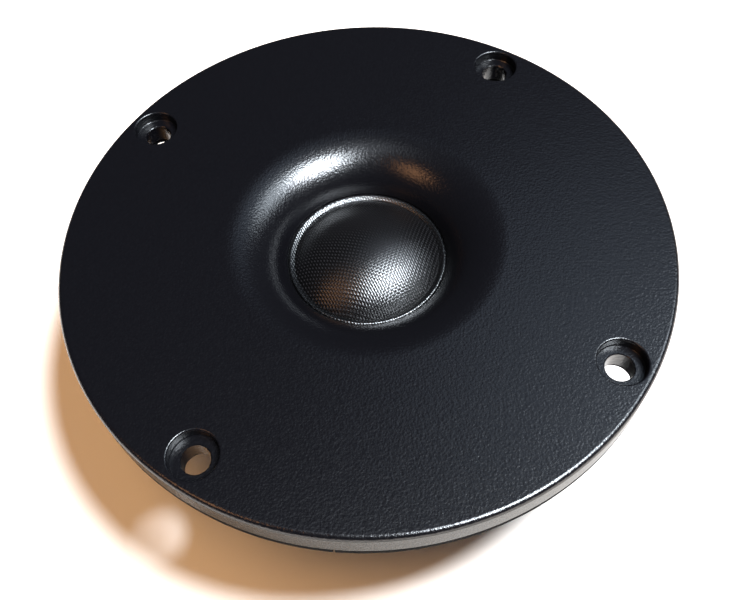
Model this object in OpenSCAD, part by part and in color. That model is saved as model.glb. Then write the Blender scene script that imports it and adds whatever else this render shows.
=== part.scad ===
// Soft dome tweeter with a round screw-down flange and a short flared throat.
// It stands on its back plate with the flange facing up.
// Lengths are in millimetres. The axis of the voice coil is Z, and z = 0 is the
// rear face of the back plate.

/* [Flange] */
// Outer diameter of the flange
flange_d = 104; // [98:0.5:130]
// Thickness of the flange at its edge
flange_edge = 5.5; // [4:0.25:7]
// Radius of the rounded shoulder along the front edge
shoulder_r = 0.9; // [0.3:0.1:1.5]
// Diameter of the circle that the mounting holes sit on
screw_circle_d = 93.3; // [90:0.1:112]
// Diameter of each mounting hole
screw_hole_d = 4.6; // [3.5:0.1:5.2]
// Diameter of the counterbore for the screw head
sink_d = 7.8; // [6:0.1:8.4]
// Depth of the counterbore
sink_depth = 2; // [1:0.1:2.6]
// Thickness of the foam gasket behind the flange
gasket_t = 1.2; // [1:0.1:4]

/* [Throat] */
// Diameter of the throat opening around the surround
throat_d = 28.2; // [28:0.1:34]
// Depth of the throat edge below the flange face
throat_depth = 6.9; // [5.5:0.1:8]
// Radius of the rounded flare
flare_r = 11; // [8.2:0.1:14]

/* [Diaphragm] */
// Outer diameter of the voice coil former
former_d = 25.6; // [24:0.1:26]
// Wall thickness of the former
former_wall = 0.15; // [0.1:0.05:0.2]
// Height of the dome above its rim
dome_h = 5.4; // [4.6:0.1:6.8]
// Thickness of the dome cloth
dome_t = 0.3; // [0.2:0.05:0.4]
// Thickness of the surround cloth
surround_t = 0.25; // [0.2:0.05:0.3]
// Radial build of the winding
winding_t = 0.35; // [0.2:0.05:0.4]
// Height of the winding
winding_h = 3; // [2:0.25:4]

/* [Motor] */
// Diameter of the steel top plate
top_plate_d = 72; // [70:0.5:74]
// Thickness of the top plate
top_plate_t = 4; // [3:0.25:6]
// Diameter of the magnet ring
magnet_d = 60; // [50:0.5:61]
// Bore of the magnet ring
magnet_bore = 32; // [30:0.5:36]
// Height of the magnet ring
magnet_h = 9; // [8.5:0.25:14]
// Diameter of the back plate
back_plate_d = 58; // [48:0.5:60]
// Thickness of the back plate
back_plate_t = 4; // [3:0.25:6]
// Diameter of the vent through the pole
vent_d = 8; // [5:0.25:9]

/* [Hidden] */
$fn = 96;
// Joined solids overlap by this much, and cuts run past a face by it
lap = 0.02;
cut = 1;
// Running clearance beside the moving voice coil
pole_gap = 0.35;
coil_gap = 0.4;
// Free space around parts that are dropped into place
fit_gap = 0.15;

plate_z = back_plate_t + magnet_h;
plate_top = plate_z + top_plate_t;

former_r = former_d / 2;
pole_r = former_r - former_wall - pole_gap;
gap_r = former_r + winding_t + coil_gap;
winding_z = plate_z + top_plate_t / 2 - winding_h / 2;

// The diaphragm ring, with the outer rim of the surround glued on top
ring_h = 1.5;
ring_top = plate_top + ring_h;
ring_r = 23;
rim_r = 17.5;
throat_r = throat_d / 2;
ring_in_r = throat_r + 0.2;
rim_top = ring_top + surround_t;
tab_w = 2;
tab_t = 0.3;
tab_gap = 0.2;
tab_z = plate_top + 0.4;
strip_x = 2.8;
lead_joint_r = ring_in_r + 1.1;

// The roll of the surround hangs between the former and the throat edge
cuff_t = surround_t;
roll_out = (throat_r - 0.1 - former_r) / 2;
roll_r = former_r + roll_out;
roll_z = ring_top + 0.15;
cuff_h = 0.75;
dome_rim_z = roll_z;
dome_sphere = (former_r * former_r + dome_h * dome_h) / (2 * dome_h);

// The flange face, and the ledge that the flange carries behind it
lip_z = rim_top + 0.35;
face_z = lip_z + throat_depth;
flare_start = throat_r + sqrt(pow(flare_r, 2) - pow(flare_r - throat_depth, 2));
flange_back = face_z - flange_edge;
gasket_back = flange_back - gasket_t;
boss_r = top_plate_d / 2 + 2;
boss_back = plate_top - 1.5;
flange_r = flange_d / 2;
screw_angles = [45, 135, 225, 315];
gasket_in_r = boss_r + 2;
gasket_slit = 0.3;
gasket_slit_angle = 252.5;

// Four screws hold the top plate against the flange, clear of the magnet
motor_screw_r = (magnet_d / 2 + top_plate_d / 2) / 2;
motor_thread_d = 3;
motor_head_d = 5.4;
motor_head_h = 2.2;
motor_screw_l = top_plate_t + 6;
motor_hole_d = 3.4;
drive_d = 2.6;
drive_w = 0.6;
drive_depth = 1.3;

pin_r = 20;
pin_d = 2;
pin_depth = 2.5;

// The terminal board hangs under the edge of the top plate
terminal_angle = 270;
lead_angle = asin(strip_x / lead_joint_r);
tab_angles = [terminal_angle - lead_angle, terminal_angle + lead_angle];
board_w = 18;
board_t = 1;
board_in = magnet_d / 2 + 0.5;
board_out = top_plate_d / 2 + 0.6;
board_top = plate_z;
plate_bevel = 0.6;
board_z = board_top - board_t;
notch_w = 9;
notch_in = top_plate_d / 2 - 2;
blade_t = 0.5;
blade_in = board_in + 0.6;
blade_drop = 6.5;
blade_out = board_out;
positive_w = 4.8;
positive_x = strip_x + positive_w / 2;
negative_w = 2.8;
negative_x = -strip_x - negative_w / 2;
strip_out = notch_in + 1;
strip_room = 0.6;
rivet_d = 1.8;
rivet_head_d = 2.8;
rivet_head_h = 0.5;
rivet_r = board_in + 2.2;
blade_hole_d = 1.3;
board_rivet_d = 2;
board_rivet_l = 2.5;
board_rivet_head_d = 3.6;
board_rivet_z = board_z - 0.6;
solder_r = 0.75;
solder_h = 0.45;

felt_d = 2 * pole_r - 4;
felt_t = 0.8;
foam_recess = 1;
foam_l = 9;
tail_r = 0.16;
lead_r = 0.12;
lead_bend = 0.95;
lead_end = 35;
lead_bend_z = plate_top + 0.3;

// Which part to build

// A washer-shaped ring standing at height z
module ring(outer_r, inner_r, height, z) {
  translate([0, 0, z])
    difference() {
      cylinder(r = outer_r, h = height);
      translate([0, 0, -cut])
        cylinder(r = inner_r, h = height + 2 * cut);
    }
}

// One copy at each angle of the list, at the given radius
module around(angles, radius) {
  for (a = angles)
    rotate([0, 0, a])
      translate([radius, 0, 0])
        children();
}

// A box that is centred on its width and turned to the terminal side.
// The box runs outward from radius r0 to radius r1.
module side_box(r0, r1, x, width, z, height) {
  rotate([0, 0, terminal_angle])
    translate([r0, x - width / 2, z])
      cube([r1 - r0, width, height]);
}

// Section of the flange, flare and rear boss, on the right of the axis
module faceplate_section() {
  difference() {
    union() {
      translate([flare_start, flange_back])
        square([flange_r - shoulder_r - flare_start, flange_edge]);
      translate([flare_start, flange_back])
        square([flange_r - flare_start, flange_edge - shoulder_r]);
      translate([flange_r - shoulder_r, face_z - shoulder_r])
        circle(r = shoulder_r);
      translate([throat_r, rim_top])
        square([boss_r - throat_r, lip_z - rim_top]);
      translate([flare_start, face_z - flare_r])
        circle(r = flare_r);
      translate([flare_start, boss_back])
        square([boss_r - flare_start, face_z - boss_back]);
    }
    // Only the front of the flare circle stays. The steps seat the ring and the plate.
    square([throat_r, lip_z]);
    square([rim_r + fit_gap, rim_top]);
    square([ring_r + fit_gap, ring_top]);
    square([top_plate_d / 2 + fit_gap, plate_top]);
    square([boss_r - lap, boss_back]);
  }
}

module faceplate() {
  color([0.07, 0.07, 0.08])
    difference() {
      rotate_extrude()
        faceplate_section();
      around(screw_angles, screw_circle_d / 2)
        translate([0, 0, flange_back - cut])
          cylinder(d = screw_hole_d, h = flange_edge + 2 * cut);
      around(screw_angles, screw_circle_d / 2)
        translate([0, 0, face_z - sink_depth])
          cylinder(d = sink_d, h = sink_depth + cut);
      around(screw_angles, motor_screw_r)
        translate([0, 0, plate_top - cut])
          cylinder(d = motor_thread_d, h = motor_screw_l - top_plate_t + cut);
      for (x = [-strip_x, strip_x])
        side_box(ring_r - cut, strip_out + strip_room, x, tab_w + 2 * tab_gap, plate_top - cut, cut + ring_h);
    }
}

module flange_gasket() {
  color([0.05, 0.05, 0.05])
    difference() {
      ring(flange_r, gasket_in_r, gasket_t, gasket_back);
      around(screw_angles, screw_circle_d / 2)
        translate([0, 0, gasket_back - cut])
          cylinder(d = screw_hole_d + 0.6, h = gasket_t + 2 * cut);
      rotate([0, 0, gasket_slit_angle])
        translate([gasket_in_r - cut, -gasket_slit / 2, gasket_back - cut])
          cube([flange_r - gasket_in_r + 2 * cut, gasket_slit, gasket_t + 2 * cut]);
    }
}

module dome() {
  color([0.12, 0.12, 0.13])
    translate([0, 0, dome_rim_z + dome_h - dome_sphere])
      difference() {
        sphere(r = dome_sphere, $fn = 96);
        sphere(r = dome_sphere - dome_t, $fn = 96);
        translate([0, 0, dome_sphere - dome_h - 2 * dome_sphere])
          cylinder(r = 2 * dome_sphere, h = 2 * dome_sphere);
      }
}

module surround() {
  color([0.16, 0.16, 0.17])
    rotate_extrude() {
      translate([former_r, roll_z - cuff_h])
        square([cuff_t, cuff_h]);
      difference() {
        translate([roll_r, roll_z])
          circle(r = roll_out);
        translate([roll_r, roll_z])
          circle(r = roll_out - surround_t);
        translate([former_r - cut, roll_z - 2 * roll_out])
          square([2 * roll_out + 2 * cut, 2 * roll_out]);
      }
      translate([roll_r + roll_out - surround_t, ring_top])
        square([rim_r - roll_r - roll_out + surround_t, surround_t]);
    }
}

module coil_former() {
  color([0.75, 0.75, 0.76])
    ring(former_r, former_r - former_wall, roll_z - winding_z + 0.3, winding_z - 0.3);
}

module voice_coil() {
  color([0.72, 0.38, 0.2])
    ring(former_r + winding_t, former_r, winding_h, winding_z);
}

// Each flexible lead rises from the winding and bends over to its strip
module coil_leads() {
  color([0.8, 0.45, 0.25])
    around(tab_angles, 0) {
      translate([former_r + tail_r, 0, winding_z + winding_h])
        cylinder(r = tail_r, h = lead_bend_z + tail_r - winding_z - winding_h);
      translate([former_r + tail_r + lead_bend, 0, lead_bend_z])
        rotate([90, -lead_end, 0])
          rotate_extrude(angle = 180 - lead_end)
            translate([lead_bend, 0])
              circle(r = lead_r);
    }
}

module diaphragm_ring() {
  color([0.1, 0.1, 0.1])
    difference() {
      ring(ring_r, ring_in_r, ring_h, plate_top);
      around([0, 180], pin_r)
        translate([0, 0, plate_top - cut])
          cylinder(d = pin_d, h = ring_h + 2 * cut);
      for (x = [-strip_x, strip_x])
        side_box(ring_in_r - cut, ring_r + cut, x, tab_w + 2 * tab_gap, tab_z, ring_h);
    }
}

module locating_pins() {
  color([0.7, 0.7, 0.72])
    around([0, 180], pin_r)
      translate([0, 0, plate_top - pin_depth])
        cylinder(d = pin_d, h = pin_depth + ring_h);
}

// A brass strip from the ring to the notch, where it turns down to its blade
module feed_strip(x) {
  color([0.8, 0.65, 0.3]) {
    side_box(ring_in_r, strip_out, x, tab_w, tab_z, tab_t);
    side_box(strip_out - tab_t, strip_out, x, tab_w, board_z, tab_z - board_z + tab_t);
  }
}

module feed_strip_positive() {
  feed_strip(strip_x);
}

module feed_strip_negative() {
  feed_strip(-strip_x);
}

module lead_solder_joints() {
  color([0.75, 0.76, 0.78])
    around(tab_angles, lead_joint_r)
      translate([0, 0, tab_z + tab_t])
        cylinder(r1 = solder_r - 0.2, r2 = solder_r / 3, h = solder_h);
}

module top_plate() {
  color([0.6, 0.61, 0.63])
    difference() {
      ring(top_plate_d / 2, gap_r, top_plate_t, plate_z);
      around(screw_angles, motor_screw_r)
        translate([0, 0, plate_z - cut])
          cylinder(d = motor_hole_d, h = top_plate_t + 2 * cut);
      around([0, 180], pin_r)
        translate([0, 0, plate_top - pin_depth])
          cylinder(d = pin_d, h = pin_depth + cut);
      side_box(notch_in, top_plate_d / 2 + cut, 0, notch_w, plate_z - cut, top_plate_t + 2 * cut);
      around([terminal_angle], rivet_r)
        translate([0, 0, plate_z - cut])
          cylinder(d = board_rivet_d, h = cut + board_rivet_l);
    }
}

module magnet() {
  color([0.14, 0.14, 0.15])
    ring(magnet_d / 2, magnet_bore / 2, magnet_h, back_plate_t);
}

// The back plate carries the pole, with a vent bored through both
module back_plate() {
  color([0.6, 0.61, 0.63])
    difference() {
      union() {
        cylinder(r1 = back_plate_d / 2 - plate_bevel, r2 = back_plate_d / 2, h = plate_bevel);
        translate([0, 0, plate_bevel])
          cylinder(d = back_plate_d, h = back_plate_t - plate_bevel);
        cylinder(r = pole_r, h = plate_top - plate_bevel);
        translate([0, 0, plate_top - plate_bevel])
          cylinder(r1 = pole_r, r2 = pole_r - plate_bevel, h = plate_bevel);
      }
      translate([0, 0, -cut])
        cylinder(d = vent_d, h = plate_top + 2 * cut);
      translate([0, 0, -lap])
        cylinder(d1 = vent_d + 2 * plate_bevel, d2 = vent_d, h = plate_bevel);
    }
}

module pole_felt() {
  color([0.25, 0.25, 0.24])
    ring(felt_d / 2, vent_d / 2, felt_t, plate_top);
}

module vent_foam() {
  color([0.1, 0.1, 0.1])
    translate([0, 0, foam_recess])
      cylinder(d = vent_d, h = foam_l);
}

module motor_screw() {
  head_z = plate_z - motor_head_h;
  difference() {
    union() {
      translate([0, 0, head_z + 0.5])
        cylinder(d = motor_head_d, h = motor_head_h - 0.5);
      translate([0, 0, head_z])
        cylinder(d1 = motor_head_d - 1.4, d2 = motor_head_d, h = 0.5);
      translate([0, 0, plate_z - lap])
        cylinder(d = motor_thread_d, h = motor_screw_l - 0.3);
    }
    for (a = [0, 90])
      translate([0, 0, head_z + drive_depth / 2 - lap])
        rotate([0, 0, a])
          cube([drive_d, drive_w, drive_depth], center = true);
  }
}

module motor_screws() {
  color([0.3, 0.3, 0.32])
    around(screw_angles, motor_screw_r)
      motor_screw();
}

module terminal_board() {
  color([0.45, 0.3, 0.17])
    difference() {
      side_box(board_in, board_out, 0, board_w, board_z, board_t);
      for (x = [negative_x, 0, positive_x])
        rotate([0, 0, terminal_angle])
          translate([rivet_r, x, board_z - cut])
            cylinder(d = x == 0 ? board_rivet_d : rivet_d, h = board_t + 2 * cut);
      for (x = [-strip_x, strip_x])
        side_box(strip_out - tab_t, strip_out, x, tab_w, board_z - cut, board_t + 2 * cut);
    }
}

// A blade with its foot riveted under the board and its end turned down
module terminal(x, width) {
  color([0.8, 0.8, 0.78])
    difference() {
      union() {
        side_box(blade_in, blade_out, x, width, board_z - blade_t, blade_t);
        side_box(blade_out - blade_t, blade_out, x, width, board_z - blade_t - blade_drop, blade_drop + lap);
      }
      rotate([0, 0, terminal_angle])
        translate([rivet_r, x, board_z - blade_t - cut])
          cylinder(d = rivet_d, h = blade_t + 2 * cut);
      rotate([0, 0, terminal_angle])
        translate([blade_out - blade_t - cut, x, board_z - blade_drop + 1.4])
          rotate([0, 90, 0])
            cylinder(d = blade_hole_d, h = blade_t + 2 * cut);
    }
}

module terminal_positive() {
  terminal(positive_x, positive_w);
}

module terminal_negative() {
  terminal(negative_x, negative_w);
}

module terminal_rivets() {
  color([0.75, 0.72, 0.6])
    for (x = [negative_x, positive_x])
      rotate([0, 0, terminal_angle])
        translate([rivet_r, x, board_z - blade_t - rivet_head_h]) {
          cylinder(d = rivet_head_d, h = rivet_head_h);
          cylinder(d = rivet_d, h = rivet_head_h + blade_t + board_t - 0.2);
        }
}

module terminal_solder_joints() {
  color([0.75, 0.76, 0.78])
    for (x = [solder_r - strip_x, strip_x - solder_r])
      rotate([0, 0, terminal_angle])
        translate([strip_out - tab_t / 2, x, board_z - solder_h])
          cylinder(r1 = solder_r / 3, r2 = solder_r, h = solder_h);
}

// A single rivet holds the board to the underside of the top plate
module board_rivet() {
  color([0.75, 0.72, 0.6])
    around([terminal_angle], rivet_r)
      translate([0, 0, board_rivet_z]) {
        cylinder(d = board_rivet_head_d, h = board_z - board_rivet_z);
        cylinder(d = board_rivet_d, h = board_top + board_rivet_l - board_rivet_z);
      }
}

faceplate();
flange_gasket();
dome();
surround();
coil_former();
voice_coil();
coil_leads();
diaphragm_ring();
locating_pins();
feed_strip_positive();
feed_strip_negative();
lead_solder_joints();
top_plate();
magnet();
back_plate();
pole_felt();
vent_foam();
motor_screws();
terminal_board();
terminal_positive();
terminal_negative();
terminal_rivets();
terminal_solder_joints();
board_rivet();
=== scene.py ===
"""Dome tweeter: the look of each piece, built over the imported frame."""

import math

import bmesh
import bpy
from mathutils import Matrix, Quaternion, Vector
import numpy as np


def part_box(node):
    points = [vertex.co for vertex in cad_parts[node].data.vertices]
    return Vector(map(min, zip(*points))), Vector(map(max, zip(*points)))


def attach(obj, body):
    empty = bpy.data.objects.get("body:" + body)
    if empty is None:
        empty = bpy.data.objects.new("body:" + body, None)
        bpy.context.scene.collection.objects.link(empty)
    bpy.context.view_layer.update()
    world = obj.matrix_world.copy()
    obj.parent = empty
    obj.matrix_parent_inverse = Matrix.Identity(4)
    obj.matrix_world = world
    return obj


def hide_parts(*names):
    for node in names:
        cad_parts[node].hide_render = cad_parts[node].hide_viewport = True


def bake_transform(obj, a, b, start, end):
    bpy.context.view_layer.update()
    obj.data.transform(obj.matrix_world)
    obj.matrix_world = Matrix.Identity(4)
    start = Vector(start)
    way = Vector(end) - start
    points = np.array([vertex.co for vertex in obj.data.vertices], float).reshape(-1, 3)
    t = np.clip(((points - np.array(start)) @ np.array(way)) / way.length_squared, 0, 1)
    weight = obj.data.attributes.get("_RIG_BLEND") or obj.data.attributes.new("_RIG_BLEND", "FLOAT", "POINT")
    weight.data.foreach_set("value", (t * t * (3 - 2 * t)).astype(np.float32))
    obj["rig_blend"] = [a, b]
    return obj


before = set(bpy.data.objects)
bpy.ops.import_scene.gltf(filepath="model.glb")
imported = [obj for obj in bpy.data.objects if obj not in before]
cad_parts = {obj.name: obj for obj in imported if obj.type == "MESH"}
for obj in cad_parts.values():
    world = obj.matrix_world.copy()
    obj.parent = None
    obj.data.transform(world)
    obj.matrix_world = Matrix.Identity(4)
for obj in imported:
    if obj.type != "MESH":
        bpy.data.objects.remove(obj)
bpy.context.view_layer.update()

MM = 0.001
TAU = 2 * math.pi
SEGMENTS = 384


# ---------------------------------------------------------------- places
def low(node):
    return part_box(node)[0] / MM


def high(node):
    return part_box(node)[1] / MM


FACE = high("faceplate").z
FLANGE_R = high("faceplate").x
BACK_Z = high("flange_gasket").z
GASKET_Z = low("flange_gasket").z
BOSS_Z = low("faceplate").z
PLATE_Z = low("top_plate").z
PLATE_TOP = high("top_plate").z
PLATE_R = high("top_plate").x
MAGNET_Z = low("magnet").z
MAGNET_R = high("magnet").x
BASE_R = high("back_plate").x
DOME_R = high("dome").x
RIM_Z = low("dome").z
DOME_TOP = high("dome").z
RIM_R = high("surround").x
RING_TOP = PLATE_TOP + 1.5
ROLL_T = 0.25
RIM_TOP = RING_TOP + ROLL_T
THROAT_R = 14.1
FLARE_R = 11.0
SHOULDER_R = 0.9
CLEARANCE = 0.15
LIP_Z = RIM_TOP + 0.35
BOSS_R = PLATE_R + 2.0
RING_R = high("diaphragm_ring").x
HOLE_CIRCLE = 93.3 / 2
HOLE_R = 2.3
SINK_R = 3.9
SINK_DEPTH = 2.0
CORNERS = [45, 135, 225, 315]
SLIT_ANGLE = 252.5
TERMINAL_ANGLE = 270
STRIP_X = 2.8
LEAD_JOINT_R = 15.4
GAP_R = 13.55
MAGNET_BORE_R = 16
SCREW_R = 1.5
SCREW_CIRCLE = (MAGNET_R + PLATE_R) / 2
VENT_R = high("vent_foam").x


# ---------------------------------------------------------------- mesh tools
def link(name, bm, smooth_angle=32.0):
    """A new object from a bmesh given in millimetres."""
    bmesh.ops.recalc_face_normals(bm, faces=bm.faces)
    mesh = bpy.data.meshes.new(name)
    bm.to_mesh(mesh)
    bm.free()
    mesh.transform(((MM, 0, 0, 0), (0, MM, 0, 0), (0, 0, MM, 0), (0, 0, 0, 1)))
    obj = bpy.data.objects.new(name, mesh)
    bpy.context.scene.collection.objects.link(obj)
    smooth(obj, smooth_angle)
    return obj


def smooth(obj, angle=32.0):
    mesh = obj.data
    mesh.polygons.foreach_set("use_smooth", [True] * len(mesh.polygons))
    mesh.set_sharp_from_angle(angle=math.radians(angle))
    mesh.update()


def weighted(obj):
    mod = obj.modifiers.new("normals", "WEIGHTED_NORMAL")
    mod.keep_sharp = True
    mod.weight = 70


def arc(cx, cz, r, start, end, steps):
    """Points on an arc, angles in degrees."""
    return [
        (
            cx + r * math.cos(math.radians(start + (end - start) * i / steps)),
            cz + r * math.sin(math.radians(start + (end - start) * i / steps)),
        )
        for i in range(steps + 1)
    ]


def rounded(corners, steps=5):
    """A closed section with each corner (r, z, fillet) turned into an arc."""
    out = []
    n = len(corners)
    for i in range(n):
        a, b, c = corners[i - 1], corners[i], corners[(i + 1) % n]
        p = Vector((b[0], b[1]))
        radius = b[2] if len(b) > 2 else 0
        if radius <= 0:
            out.append((p.x, p.y))
            continue
        u = (Vector((a[0], a[1])) - p).normalized()
        v = (Vector((c[0], c[1])) - p).normalized()
        half = u.angle(v) / 2
        reach = radius / math.tan(half)
        centre = p + (u + v).normalized() * (radius / math.sin(half))
        t1, t2 = p + u * reach - centre, p + v * reach - centre
        a1 = math.atan2(t1.y, t1.x)
        turn = math.atan2(t2.y, t2.x) - a1
        turn = (turn + math.pi) % TAU - math.pi
        for k in range(steps + 1):
            w = a1 + turn * k / steps
            out.append((centre.x + radius * math.cos(w), centre.y + radius * math.sin(w)))
    return out


def lathe(section, segments=SEGMENTS, start=0.0, sweep=360.0, centre=(0, 0)):
    """A closed section (r, z) turned about Z; an open sweep gets end caps."""
    bm = bmesh.new()
    full = abs(sweep - 360.0) < 1e-6
    count = segments if full else segments + 1
    columns = []
    for i in range(count):
        w = math.radians(start + sweep * i / segments)
        cw, sw = math.cos(w), math.sin(w)
        column = []
        for r, z in section:
            if full and r < 1e-6 and i:
                column.append(columns[0][len(column)])
            else:
                column.append(bm.verts.new((centre[0] + r * cw, centre[1] + r * sw, z)))
        columns.append(column)
    n = len(section)
    for i in range(segments):
        one, two = columns[i], columns[(i + 1) % count]
        for k in range(n):
            ring = [one[k], two[k], two[(k + 1) % n], one[(k + 1) % n]]
            corners = []
            for v in ring:
                if v not in corners:
                    corners.append(v)
            if len(corners) > 2:
                bm.faces.new(corners)
    if not full:
        bm.faces.new(columns[0])
        bm.faces.new(list(reversed(columns[-1])))
    return bm


def turned(name, section, **kw):
    return link(name, lathe(section, **kw))


def cut(obj, cutters):
    """Takes the cutters out of obj for good."""
    for cutter in cutters:
        mod = obj.modifiers.new("cut", "BOOLEAN")
        mod.operation = "DIFFERENCE"
        mod.solver = "EXACT"
        mod.object = cutter
    bpy.context.view_layer.update()
    dg = bpy.context.evaluated_depsgraph_get()
    mesh = bpy.data.meshes.new_from_object(obj.evaluated_get(dg))
    obj.modifiers.clear()
    old = obj.data
    obj.data = mesh
    mesh.name = old.name
    bpy.data.meshes.remove(old)
    for cutter in cutters:
        data = cutter.data
        bpy.data.objects.remove(cutter)
        bpy.data.meshes.remove(data)
    smooth(obj)


def polar(angle, radius):
    return (radius * math.cos(math.radians(angle)), radius * math.sin(math.radians(angle)))


def block(bm, x0, x1, y0, y1, z0, z1):
    made = bmesh.ops.create_cube(bm, size=1.0)["verts"]
    for v in made:
        v.co = Vector(
            (
                x0 if v.co.x < 0 else x1,
                y0 if v.co.y < 0 else y1,
                z0 if v.co.z < 0 else z1,
            )
        )
    return made


def wire(bm, path, radius, angle, sides=12):
    """A round wire; path holds (r, z, slope) in the upright plane at the given angle."""
    turn = math.radians(angle)
    rings = []
    for r, z, slope in path:
        ring = []
        for k in range(sides):
            out = radius * math.cos(TAU * k / sides)
            across = radius * math.sin(TAU * k / sides)
            reach = r + out * math.cos(math.radians(slope))
            x = reach * math.cos(turn) - across * math.sin(turn)
            y = reach * math.sin(turn) + across * math.cos(turn)
            ring.append(bm.verts.new((x, y, z + out * math.sin(math.radians(slope)))))
        rings.append(ring)
    for one, two in zip(rings, rings[1:]):
        for k in range(sides):
            bm.faces.new((one[k], one[(k + 1) % sides], two[(k + 1) % sides], two[k]))
    bm.faces.new(rings[0])
    bm.faces.new(list(reversed(rings[-1])))


def eased(w):
    """w held to 0..1, with soft ends."""
    w = min(1.0, max(0.0, w))
    return w * w * (3 - 2 * w)


def bevelled(obj, width, segments=3, angle=40):
    mod = obj.modifiers.new("edges", "BEVEL")
    mod.width = width * MM
    mod.segments = segments
    mod.limit_method = "ANGLE"
    mod.angle_limit = math.radians(angle)
    mod.harden_normals = True


# ---------------------------------------------------------------- shader tools
class Nodes:
    """A short way to write a node tree."""

    def __init__(self, name):
        self.mat = bpy.data.materials.new(name)
        self.mat.use_nodes = True
        self.tree = self.mat.node_tree
        self.shader = self.tree.nodes["Principled BSDF"]
        self.coords = self.add("ShaderNodeTexCoord").outputs["Object"]

    def add(self, kind, **values):
        node = self.tree.nodes.new(kind)
        for key, value in values.items():
            setattr(node, key, value)
        return node

    def put(self, value, socket):
        if hasattr(value, "is_output"):
            self.tree.links.new(value, socket)
        else:
            socket.default_value = value

    def math(self, op, a, b=0.0, c=0.0, clamp=False):
        node = self.add("ShaderNodeMath", operation=op, use_clamp=clamp)
        for value, socket in zip((a, b, c), node.inputs):
            self.put(value, socket)
        return node.outputs[0]

    def noise(self, scale, detail=2.0, rough=0.5, coords=None, distort=0.0):
        node = self.add("ShaderNodeTexNoise")
        self.put(coords or self.coords, node.inputs["Vector"])
        node.inputs["Scale"].default_value = scale
        node.inputs["Detail"].default_value = detail
        node.inputs["Roughness"].default_value = rough
        node.inputs["Distortion"].default_value = distort
        return node.outputs["Fac"]

    def cells(self, scale, feature="F1", coords=None, out="Distance"):
        node = self.add("ShaderNodeTexVoronoi", feature=feature)
        self.put(coords or self.coords, node.inputs["Vector"])
        node.inputs["Scale"].default_value = scale
        return node.outputs[out]

    def ramp(self, value, stops):
        node = self.add("ShaderNodeValToRGB")
        self.put(value, node.inputs[0])
        elements = node.color_ramp.elements
        while len(elements) < len(stops):
            elements.new(0.5)
        for element, (place, color) in zip(elements, stops):
            element.position = place
            element.color = (*color, 1.0) if len(color) == 3 else color
        return node.outputs[0]

    def scale(self, value, lo, hi, out_lo, out_hi):
        node = self.add("ShaderNodeMapRange")
        self.put(value, node.inputs[0])
        for i, v in enumerate((lo, hi, out_lo, out_hi), 1):
            node.inputs[i].default_value = v
        return node.outputs[0]

    def split(self, coords=None):
        node = self.add("ShaderNodeSeparateXYZ")
        self.put(coords or self.coords, node.inputs[0])
        return node.outputs

    def bump(self, height, distance, strength=1.0, after=None):
        node = self.add("ShaderNodeBump")
        node.inputs["Strength"].default_value = strength
        node.inputs["Distance"].default_value = distance
        self.put(height, node.inputs["Height"])
        if after is not None:
            self.put(after, node.inputs["Normal"])
        return node.outputs[0]

    def set(self, **values):
        for key, value in values.items():
            self.put(value, self.shader.inputs[key.replace("_", " ")])
        return self

    def polar(self):
        """(angle from 0 to 1, radius) about the Z axis."""
        x, y, _ = self.split()
        angle = self.math("ARCTAN2", y, x)
        radius = self.math(
            "SQRT", self.math("ADD", self.math("MULTIPLY", x, x), self.math("MULTIPLY", y, y))
        )
        return self.math("DIVIDE", angle, TAU), radius


def paint(obj, mat):
    """Every slot of obj shows the given material."""
    if not obj.material_slots:
        obj.data.materials.append(mat)
    for slot in obj.material_slots:
        slot.material = mat


# ---------------------------------------------------------------- materials
def plastic(name, color, rough, grain, depth, level=0.35):
    """Moulded plastic with the fine grain of a spark-eroded mould."""
    n = Nodes(name)
    fine = n.noise(grain, 2.5, 0.62)
    pits = n.cells(grain * 0.62, "SMOOTH_F1")
    skin = n.math("ADD", fine, n.math("MULTIPLY", pits, 1.1))
    tone = n.ramp(fine, [(0.3, [c * 0.85 for c in color]), (0.7, [c * 1.15 for c in color])])
    wear = n.scale(n.noise(2100, 3, 0.6), 0.35, 0.7, rough - 0.025, rough + 0.025)
    return n.set(
        Base_Color=tone,
        Roughness=wear,
        Specular_IOR_Level=level,
        Normal=n.bump(skin, depth),
    ).mat


def weave(n, pitch, turn=18.0, lift=0.45):
    """Height of a plain weave; the cloth lies in XY and is pressed to shape."""
    x, y, _ = n.split()
    c, s = math.cos(math.radians(turn)) / pitch, math.sin(math.radians(turn)) / pitch
    sway = n.math("MULTIPLY", n.math("SUBTRACT", n.noise(260, 1), 0.5), 0.5)
    u = n.math("ADD", n.math("ADD", n.math("MULTIPLY", x, c), n.math("MULTIPLY", y, s)), sway)
    v = n.math("ADD", n.math("SUBTRACT", n.math("MULTIPLY", y, c), n.math("MULTIPLY", x, s)), sway)

    def thread(along, across, phase, lift):
        body = n.math("ABSOLUTE", n.math("SINE", n.math("MULTIPLY", across, math.pi)))
        row = n.math("ADD", n.math("FLOOR", across), phase)
        wave = n.math("COSINE", n.math("MULTIPLY", n.math("ADD", along, row), math.pi))
        return n.math(
            "MULTIPLY",
            n.math("POWER", body, 0.7),
            n.math("ADD", n.math("MULTIPLY", wave, lift), 1.0 - lift),
        )

    warp = thread(v, u, 0.5, lift * 0.6)
    weft = n.math("MULTIPLY", thread(u, v, 1.5, lift), 0.72)
    return n.math("MAXIMUM", warp, weft)


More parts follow.
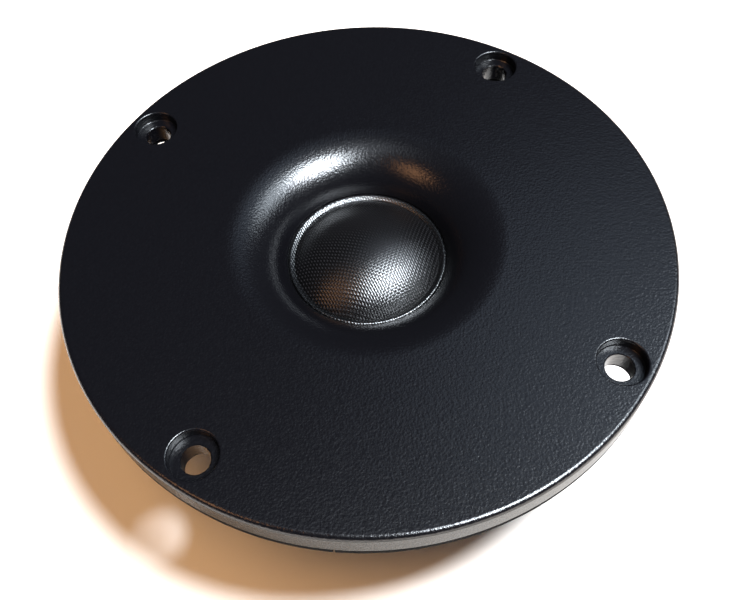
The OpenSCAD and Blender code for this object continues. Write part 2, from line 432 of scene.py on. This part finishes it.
def cloth(name, color, rough, pitch, depth, level):
    n = Nodes(name)
    height = weave(n, pitch)
    fibre = n.noise(9000, 2, 0.6)
    shade = n.math("ADD", n.math("MULTIPLY", height, 0.75), n.math("MULTIPLY", fibre, 0.3))
    # Base colour darker in the crevices between threads and lighter on the thread crowns: painted shade in
    # the crevices, painted light on the crowns.
    tone = n.ramp(shade, [(0.6, [c * 0.1 for c in color]), (0.88, [c * 2.2 for c in color])])
    both = n.math("ADD", height, n.math("MULTIPLY", fibre, 0.25))
    gloss = n.scale(shade, 0.3, 0.7, rough + 0.12, rough)
    return n.set(
        Base_Color=tone,
        Roughness=gloss,
        Specular_IOR_Level=level,
        Normal=n.bump(both, depth),
    ).mat


def foam(name, color, cell, depth):
    n = Nodes(name)
    cells = n.cells(cell, "SMOOTH_F1")
    grit = n.noise(cell * 2.2, 3, 0.65)
    both = n.math("ADD", cells, n.math("MULTIPLY", grit, 0.5))
    tone = n.ramp(cells, [(0.1, [c * 1.5 for c in color]), (0.8, [c * 0.4 for c in color])])
    return n.set(
        Base_Color=tone,
        Roughness=n.scale(grit, 0.3, 0.7, 0.82, 0.98),
        Specular_IOR_Level=0.05,
        Normal=n.bump(both, depth),
    ).mat


def turned_metal(name, color, rough, groove, depth=0.000012, turned_face=True):
    """Plated metal; turned faces carry fine rings about the axis."""
    n = Nodes(name)
    n.shader.inputs["Metallic"].default_value = 1.0
    stain = n.noise(140, 4, 0.6)
    tone = n.ramp(stain, [(0.3, [c * 0.72 for c in color]), (0.7, [min(1.0, c * 1.12) for c in color])])
    grain = n.noise(2600, 3, 0.6)
    if turned_face:
        _, radius = n.polar()
        rings = n.math("SINE", n.math("MULTIPLY", radius, TAU * groove))
        rings = n.math("MULTIPLY", rings, n.noise(800, 1))
        relief = n.math("ADD", n.math("MULTIPLY", rings, 0.7), grain)
    else:
        relief = grain
    return n.set(
        Base_Color=tone,
        Roughness=n.scale(n.noise(330, 4, 0.65), 0.3, 0.75, rough - 0.07, rough + 0.12),
        Normal=n.bump(relief, depth),
    ).mat


def ferrite(name):
    """Sintered ferrite: ground dark grey with pits and pale dust."""
    n = Nodes(name)
    grain = n.noise(1900, 4, 0.68)
    pits = n.ramp(n.cells(700, "F1"), [(0.08, (0, 0, 0)), (0.22, (1, 1, 1))])
    dust = n.noise(210, 4, 0.6)
    tone = n.ramp(
        n.math("ADD", n.math("MULTIPLY", dust, 0.55), n.math("MULTIPLY", grain, 0.45)),
        [(0.35, (0.018, 0.018, 0.02)), (0.68, (0.06, 0.06, 0.064))],
    )
    return n.set(
        Base_Color=tone,
        Roughness=n.scale(grain, 0.3, 0.7, 0.55, 0.8),
        Normal=n.bump(n.math("ADD", n.math("MULTIPLY", pits, 0.5), grain), 0.00005),
    ).mat


def winding(name):
    n = Nodes(name)
    n.shader.inputs["Metallic"].default_value = 0.85
    _, _, z = n.split()
    turns = n.math("ABSOLUTE", n.math("SINE", n.math("MULTIPLY", z, math.pi / 0.00011)))
    # Base colour darker in the grooves between the wire turns: painted shade between the turns.
    tone = n.ramp(turns, [(0.0, (0.1, 0.03, 0.012)), (0.6, (0.5, 0.19, 0.075))])
    return n.set(
        Base_Color=tone,
        Roughness=n.scale(n.noise(900), 0.3, 0.7, 0.22, 0.36),
        Normal=n.bump(turns, 0.00004),
    ).mat


def phenolic(name):
    n = Nodes(name)
    x, y, _ = n.split()
    a = n.math("SINE", n.math("MULTIPLY", x, TAU / 0.0006))
    b = n.math("SINE", n.math("MULTIPLY", y, TAU / 0.0006))
    web = n.math("MULTIPLY", a, b)
    mott = n.noise(600, 4, 0.6)
    tone = n.ramp(
        n.math("ADD", mott, n.math("MULTIPLY", web, 0.08)),
        [(0.3, (0.11, 0.045, 0.018)), (0.7, (0.26, 0.125, 0.055))],
    )
    return n.set(
        Base_Color=tone, Roughness=n.scale(mott, 0.3, 0.7, 0.4, 0.58), Normal=n.bump(web, 0.00001)
    ).mat


def felt(name, color):
    n = Nodes(name)
    hair = n.noise(2200, 4, 0.75, distort=1.4)
    tone = n.ramp(hair, [(0.3, [c * 0.5 for c in color]), (0.7, [c * 1.4 for c in color])])
    return n.set(Base_Color=tone, Roughness=0.95, Sheen_Weight=0.25, Normal=n.bump(hair, 0.00012)).mat


def table_top(name):
    n = Nodes(name)
    grain = n.noise(9, 4, 0.55)
    tone = n.ramp(grain, [(0.3, (0.86, 0.855, 0.85)), (0.7, (0.89, 0.887, 0.883))])
    return n.set(
        Base_Color=tone,
        Roughness=0.75,
        Specular_IOR_Level=0.2,
        Normal=n.bump(n.noise(900, 2), 0.00002),
    ).mat


BLACK = (0.0017, 0.0016, 0.0022)
M = {
    "flange": plastic("flange_plastic", BLACK, 0.22, 4400, 0.000026, 0.45),
    # A lighter copy of the flange plastic for the flange's outer wall: painted light on the side wall.
    "edge": plastic("flange_edge_plastic", (0.0135, 0.0145, 0.0132), 0.28, 4200, 0.00001, 0.045),
    "ring": plastic("ring_plastic", (0.012, 0.012, 0.012), 0.5, 3000, 0.00002),
    "dome": cloth("dome_cloth", (0.006, 0.0056, 0.006), 0.17, 0.00042, 0.00005, 0.45),
    "surround": cloth("surround_cloth", (0.003, 0.003, 0.0032), 0.17, 0.00042, 0.00006, 0.8),
    "gasket": foam("gasket_foam", (0.002, 0.002, 0.0021), 2600, 0.00006),
    "vent": foam("vent_foam_cells", (0.016, 0.016, 0.017), 1300, 0.00025),
    "plate": turned_metal("zinc_steel", (0.55, 0.56, 0.57), 0.33, 4200),
    "pole": turned_metal("turned_steel", (0.52, 0.53, 0.55), 0.3, 3300),
    "pin": turned_metal("bright_steel", (0.6, 0.6, 0.62), 0.25, 3000, 0.000006, False),
    "screw": turned_metal("black_oxide", (0.05, 0.05, 0.055), 0.38, 3000, 0.00001, False),
    "brass": turned_metal("stamped_brass", (0.62, 0.42, 0.16), 0.3, 3000, 0.000008, False),
    "tinned": turned_metal("tinned_brass", (0.6, 0.59, 0.56), 0.3, 3000, 0.000008, False),
    "foil": turned_metal("former_foil", (0.72, 0.72, 0.73), 0.25, 3000, 0.000004, False),
    "solder": turned_metal("solder", (0.55, 0.56, 0.58), 0.22, 3000, 0.00002, False),
    "magnet": ferrite("sintered_ferrite"),
    "coil": winding("copper_winding"),
    "board": phenolic("phenolic_board"),
    "felt": felt("pole_felt_wool", (0.07, 0.068, 0.062)),
}


# ---------------------------------------------------------------- front
def finish_piece(obj, mat, body, *nodes, slot=None):
    if mat:
        paint(obj, M[mat])
    if body:
        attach(obj, body)
    if nodes:
        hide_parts(*nodes)
    return obj


def hole_cutter(angle):
    """Counterbore with a rounded rim, and the hole under it."""
    rim = 0.3
    section = [(0, FACE + 2)]
    section += [(SINK_R + rim, FACE + 2)]
    section += arc(SINK_R + rim, FACE - rim, rim, 90, 180, 6)
    section += [(SINK_R, FACE - SINK_DEPTH + 0.12), (SINK_R - 0.12, FACE - SINK_DEPTH)]
    section += [(HOLE_R + 0.15, FACE - SINK_DEPTH), (HOLE_R, FACE - SINK_DEPTH - 0.15)]
    section += [(HOLE_R, BACK_Z - 1), (0, BACK_Z - 1)]
    return turned("cutter", section, segments=96, centre=polar(angle, HOLE_CIRCLE))


def make_faceplate():
    centre = FACE - FLARE_R
    start = THROAT_R + math.sqrt(FLARE_R**2 - (LIP_Z - centre) ** 2)
    low_angle = 180 - math.degrees(math.asin((LIP_Z - centre) / FLARE_R))
    section = arc(start, centre, FLARE_R, low_angle, 90, 40)
    section += arc(FLANGE_R - SHOULDER_R, FACE - SHOULDER_R, SHOULDER_R, 90, 0, 10)
    section += rounded(
        [
            (FLANGE_R, FACE - 1),
            (FLANGE_R, BACK_Z, 0.25),
            (BOSS_R, BACK_Z, 0.4),
            (BOSS_R, BOSS_Z, 0.3),
            (PLATE_R + CLEARANCE, BOSS_Z, 0.2),
            (PLATE_R + CLEARANCE, PLATE_TOP),
            (RING_R + CLEARANCE, PLATE_TOP),
            (RING_R + CLEARANCE, RING_TOP),
            (RIM_R + CLEARANCE, RING_TOP),
            (RIM_R + CLEARANCE, RIM_TOP),
            (THROAT_R, RIM_TOP),
        ],
        4,
    )
    obj = turned("flange_with_throat", section)
    cutters = [hole_cutter(a) for a in CORNERS]
    bm = bmesh.new()
    for x in (-STRIP_X, STRIP_X):
        block(bm, x - 1.2, x + 1.2, -PLATE_R + 0.4, -RING_R + 1, PLATE_TOP - 1, RING_TOP)
    cutters.append(link("cutter", bm))
    for a in CORNERS:
        foot, end = PLATE_TOP - 1, PLATE_TOP + 6
        pilot = rounded([(0, foot), (SCREW_R, foot), (SCREW_R, end), (0, end)])
        cutters.append(turned("cutter", pilot, segments=32, centre=polar(a, SCREW_CIRCLE)))
    cut(obj, cutters)
    weighted(obj)
    paint(obj, M["flange"])
    # The lighter copy of the plastic goes on the outer wall faces, picked by face direction: painted light
    # on the side wall.
    obj.data.materials.append(M["edge"])
    for face in obj.data.polygons:
        c = face.center / MM
        if math.hypot(c.x, c.y) > FLANGE_R - 0.2 and abs(face.normal.z) < 0.3:
            face.material_index = 1
    return finish_piece(obj, None, "frame", "faceplate", slot="flange_plastic")


def make_gasket():
    half = math.degrees(0.15 / FLANGE_R)
    section = rounded(
        [
            (BOSS_R + 2, GASKET_Z, 0.15),
            (FLANGE_R, GASKET_Z, 0.2),
            (FLANGE_R, BACK_Z, 0.1),
            (BOSS_R + 2, BACK_Z, 0.1),
        ],
        3,
    )
    obj = turned("foam_gasket", section, start=SLIT_ANGLE + half, sweep=360 - 2 * half)
    cutters = []
    for a in CORNERS:
        section = [(0, BACK_Z + 1), (2.75, BACK_Z + 1), (2.75, GASKET_Z - 1), (0, GASKET_Z - 1)]
        cutters.append(turned("cutter", section, segments=64, centre=polar(a, HOLE_CIRCLE)))
    cut(obj, cutters)
    weighted(obj)
    return finish_piece(obj, "gasket", "frame", "flange_gasket", slot="foam")


def make_dome():
    height = DOME_TOP - RIM_Z
    sphere = (DOME_R**2 + height**2) / (2 * height)
    centre = DOME_TOP - sphere
    edge = math.degrees(math.asin(DOME_R / sphere))
    inner = sphere - 0.3
    inner_edge = math.degrees(math.acos((RIM_Z - centre) / inner))
    section = arc(0, centre, sphere, 90, 90 - edge, 72)
    section[0] = (0.0, DOME_TOP)
    section += arc(0, centre, inner, 90 - inner_edge, 90, 36)
    section[-1] = (0.0, centre + inner)
    obj = turned("woven_dome", section)
    return finish_piece(obj, "dome", "diaphragm", "dome", slot="dome_cloth")


def make_surround():
    """The roll with its cuff and rim; it stretches from the clamped rim to the former."""
    t = ROLL_T
    out = (THROAT_R - 0.1 - DOME_R) / 2
    mid = DOME_R + out
    z = RIM_Z
    crest = mid + 0.2
    section = [(DOME_R, z - 0.75), (DOME_R, z - 0.02)]
    section += arc(DOME_R + 0.1, z, 0.1, 180, 116, 6)
    section += arc(crest, z + 0.05, 0.4, 116, 0, 20)
    section += [(RIM_R, RIM_TOP)]
    section += [(RIM_R, RING_TOP), (crest + 0.4 - t, RING_TOP)]
    section += arc(crest, z, 0.4 - t, 0, 116, 12)
    section += [(DOME_R + t, z - 0.1), (DOME_R + t, z - 0.75)]
    obj = turned("roll_surround", section)
    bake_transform(obj, "frame", "diaphragm", (0.014, 0, 0), (0.0131, 0, 0))
    field = obj.data.attributes["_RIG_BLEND"]
    for i, v in enumerate(obj.data.vertices):
        r = math.hypot(v.co.x, v.co.y) / MM
        field.data[i].value = eased((mid + out - 0.05 - r) / (1.7 * out))
    return finish_piece(obj, "surround", None, "surround", slot="surround_cloth")


def make_leads():
    """Two wires rise from the winding and bend over to their fixed strips."""
    centre, bend, sweep, steps = DOME_R + 1.11, 0.9, 145, 32
    top = PLATE_TOP + 0.3
    path = [(centre - bend, high("voice_coil").z, 180.0)]
    for i in range(steps + 1):
        slope = 180 - sweep * i / steps
        r, z = polar(slope, bend)
        path.append((centre + r, top + z, slope))
    bm = bmesh.new()
    aside = math.degrees(math.asin(STRIP_X / LEAD_JOINT_R))
    for side in (-1, 1):
        wire(bm, path, 0.1, TERMINAL_ANGLE + side * aside)
    obj = link("flexible_leads", bm)
    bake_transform(obj, "frame", "diaphragm", (0.0147, 0, 0), (0.013, 0, 0))
    field = obj.data.attributes["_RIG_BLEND"]
    for i, v in enumerate(obj.data.vertices):
        r = math.hypot(v.co.x, v.co.y) / MM - centre
        z = max(v.co.z / MM - top, 0.0)
        swept = 180 - math.degrees(math.atan2(z, r))
        field.data[i].value = eased(1 - swept / sweep)
    return finish_piece(obj, "coil", None, "coil_leads", slot="copper_wire")


# ---------------------------------------------------------------- motor
def make_top_plate():
    section = rounded(
        [
            (GAP_R, PLATE_Z, 0.1),
            (PLATE_R, PLATE_Z, 0.35),
            (PLATE_R, PLATE_TOP, 0.2),
            (GAP_R, PLATE_TOP, 0.1),
        ],
        3,
    )
    obj = turned("steel_top_plate", section)
    cutters = []
    for a in CORNERS:
        hole = [(0, PLATE_TOP + 1), (1.7, PLATE_TOP + 1), (1.7, PLATE_Z - 1), (0, PLATE_Z - 1)]
        cutters.append(turned("cutter", hole, segments=48, centre=polar(a, SCREW_CIRCLE)))
    bm = bmesh.new()
    block(bm, -4.5, 4.5, -PLATE_R - 1, -PLATE_R + 2, PLATE_Z - 1, PLATE_TOP + 1)
    cutters.append(link("cutter", bm))
    cut(obj, cutters)
    weighted(obj)
    return finish_piece(obj, "plate", "frame", "top_plate", slot="zinc_steel")


def make_magnet():
    section = rounded(
        [
            (MAGNET_BORE_R, MAGNET_Z, 0.4),
            (MAGNET_R, MAGNET_Z, 0.7),
            (MAGNET_R, PLATE_Z, 0.7),
            (MAGNET_BORE_R, PLATE_Z, 0.4),
        ],
        3,
    )
    obj = turned("ferrite_ring", section)
    return finish_piece(obj, "magnet", "frame", "magnet", slot="ferrite")


def make_back_plate():
    pole = high("pole_felt").x + 2
    section = rounded(
        [
            (VENT_R + 0.6, 0),
            (BASE_R, 0, 0.6),
            (BASE_R, MAGNET_Z, 0.25),
            (pole + 0.6, MAGNET_Z, 0.5),
            (pole, MAGNET_Z + 0.8),
            (pole, PLATE_TOP, 0.6),
            (VENT_R, PLATE_TOP, 0.2),
            (VENT_R, 0.6),
        ],
        4,
    )
    obj = turned("turned_back_plate", section)
    return finish_piece(obj, "pole", "frame", "back_plate", slot="zinc_steel")


def make_vent_foam():
    lo, hi = low("vent_foam").z, high("vent_foam").z
    steps = [(0.0, lo - 0.12), (VENT_R * 0.6, lo - 0.1), (VENT_R - 0.1, lo + 0.15), (VENT_R, lo + 0.5)]
    obj = turned("vent_foam_plug", steps + [(VENT_R, hi), (0.0, hi)], segments=96)
    return finish_piece(obj, "vent", "frame", "vent_foam", slot="foam")


def make_screws():
    """Pan heads with a cross recess; the threads sit inside the plastic."""
    lo, hi = low("motor_screws").z, high("motor_screws").z
    parts = []
    for k, a in enumerate(CORNERS):
        section = [(0.0, lo)] + arc(1.35, lo + 1.35, 1.35, -90, 0, 8)
        section += [(2.7, PLATE_Z - 0.15), (2.6, PLATE_Z), (SCREW_R, PLATE_Z)]
        pitch = 1.25
        z = PLATE_Z + 0.4
        while z + pitch < hi - 0.8:
            section += [(1.2, z), (SCREW_R, z + 0.35 * pitch), (1.2, z + 0.7 * pitch)]
            z += pitch
        section += [(1.1, hi - 0.6), (0.25, hi), (0.0, hi)]
        x, y = polar(a, SCREW_CIRCLE)
        head = turned("motor_screw_%d" % (k + 1), section, segments=64, centre=(x, y))
        cutters = []
        for turn in (0, 90):
            bm = bmesh.new()
            block(bm, -1.35, 1.35, -0.33, 0.33, lo - 1, lo + 1.25)
            spin = Quaternion((0, 0, 1), math.radians(turn + 31 * k)).to_matrix().to_4x4()
            bm.transform(spin)
            bmesh.ops.translate(bm, verts=bm.verts, vec=(x, y, 0))
            cutters.append(link("cutter", bm))
        cut(head, cutters)
        weighted(head)
        parts.append(finish_piece(head, "screw", "frame", "motor_screws", slot="black_screws"))
    return parts


def carried_over():
    """CAD nodes whose shape is already right get their material and softened edges."""
    looks = {
        "diaphragm_ring": ("ring", 0.12),
        "locating_pins": ("pin", 0.12),
        "feed_strip_positive": ("brass", 0.04),
        "feed_strip_negative": ("brass", 0.04),
        "lead_solder_joints": ("solder", 0.08),
        "terminal_solder_joints": ("solder", 0.08),
        "coil_former": ("foil", 0),
        "voice_coil": ("coil", 0),
        "pole_felt": ("felt", 0.15),
        "terminal_board": ("board", 0.1),
        "terminal_positive": ("tinned", 0.1),
        "terminal_negative": ("tinned", 0.1),
        "terminal_rivets": ("brass", 0.15),
        "board_rivet": ("brass", 0.15),
    }
    for name, (look, edge) in looks.items():
        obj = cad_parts[name]
        paint(obj, M[look])
        if edge:
            bevelled(obj, edge)


# ---------------------------------------------------------------- studio
def make_camera():
    data = bpy.data.cameras.new("camera")
    data.lens = 40.4
    data.sensor_width = 36
    data.sensor_fit = "HORIZONTAL"
    data.clip_start = 0.01
    data.clip_end = 50
    cam = bpy.data.objects.new("camera", data)
    bpy.context.scene.collection.objects.link(cam)
    place = Vector((-13.58, -81.75, FACE + 113.14)) * MM
    target = Vector((-2.595, -13.12, FACE)) * MM
    cam.location = place
    cam.rotation_mode = "QUATERNION"
    aim = (target - place).to_track_quat("-Z", "Y")
    cam.rotation_quaternion = aim @ Quaternion((0, 0, 1), math.radians(-3.818))
    bpy.context.scene.camera = cam


def lamp(name, azimuth, elevation, size, power, color, receivers):
    """A soft lamp 1.2 m away that lights only the given collection."""
    data = bpy.data.lights.new(name, "AREA")
    data.shape = "ELLIPSE"
    data.size, data.size_y = size
    data.energy = power
    data.color = color
    obj = bpy.data.objects.new(name, data)
    bpy.context.scene.collection.objects.link(obj)
    a, e = math.radians(azimuth), math.radians(elevation)
    way = Vector((math.cos(e) * math.cos(a), math.cos(e) * math.sin(a), math.sin(e)))
    obj.location = way * 1.2
    obj.rotation_mode = "QUATERNION"
    obj.rotation_quaternion = (-way).to_track_quat("-Z", "Y")
    obj.light_linking.receiver_collection = receivers


def make_studio():
    bm = bmesh.new()
    bmesh.ops.create_grid(bm, x_segments=24, y_segments=24, size=3000)
    floor = link("table_top", bm)
    paint(floor, table_top("pale_table"))
    only_table = bpy.data.collections.new("table_light")
    only_table.objects.link(floor)
    not_table = bpy.data.collections.new("object_light")
    not_table.objects.link(floor)
    not_table.collection_objects[0].light_linking.link_state = "EXCLUDE"
    for name, azimuth, elevation, size, power, color in (
        ("key", -43, 62, (0.6, 0.5), 60, (0.86, 0.93, 1.0)),
        ("second", 4, 52, (0.6, 0.5), 7.5, (0.8, 0.9, 1.0)),
        ("side", 42, 60, (0.6, 0.6), 0.8, (0.62, 0.78, 1.0)),
        ("top", -110, 87, (0.5, 0.5), 0.7, (0.82, 0.9, 1.0)),
        ("warm", -158, 48, (0.4, 0.4), 2.4, (1.0, 0.48, 0.22)),
    ):
        lamp(name, azimuth, elevation, size, power, color, not_table)
    lamp("table_key", 8, 64, (0.42, 0.42), 48, (1.0, 1.0, 1.0), only_table)
    lamp("table_warm", 180, 70, (1.0, 1.0), 9.5, (1.0, 0.52, 0.2), only_table)
    world = bpy.data.worlds.new("room")
    bpy.context.scene.world = world
    world.use_nodes = True
    sky = world.node_tree.nodes["Background"]
    sky.inputs[0].default_value = (0.8, 0.86, 1.0, 1)
    sky.inputs[1].default_value = 0.06
    bpy.context.scene.view_settings.view_transform = "Standard"


make_camera()
make_faceplate()
make_gasket()
make_dome()
make_surround()
make_leads()
make_top_plate()
make_magnet()
make_back_plate()
make_vent_foam()
make_screws()
carried_over()
make_studio()
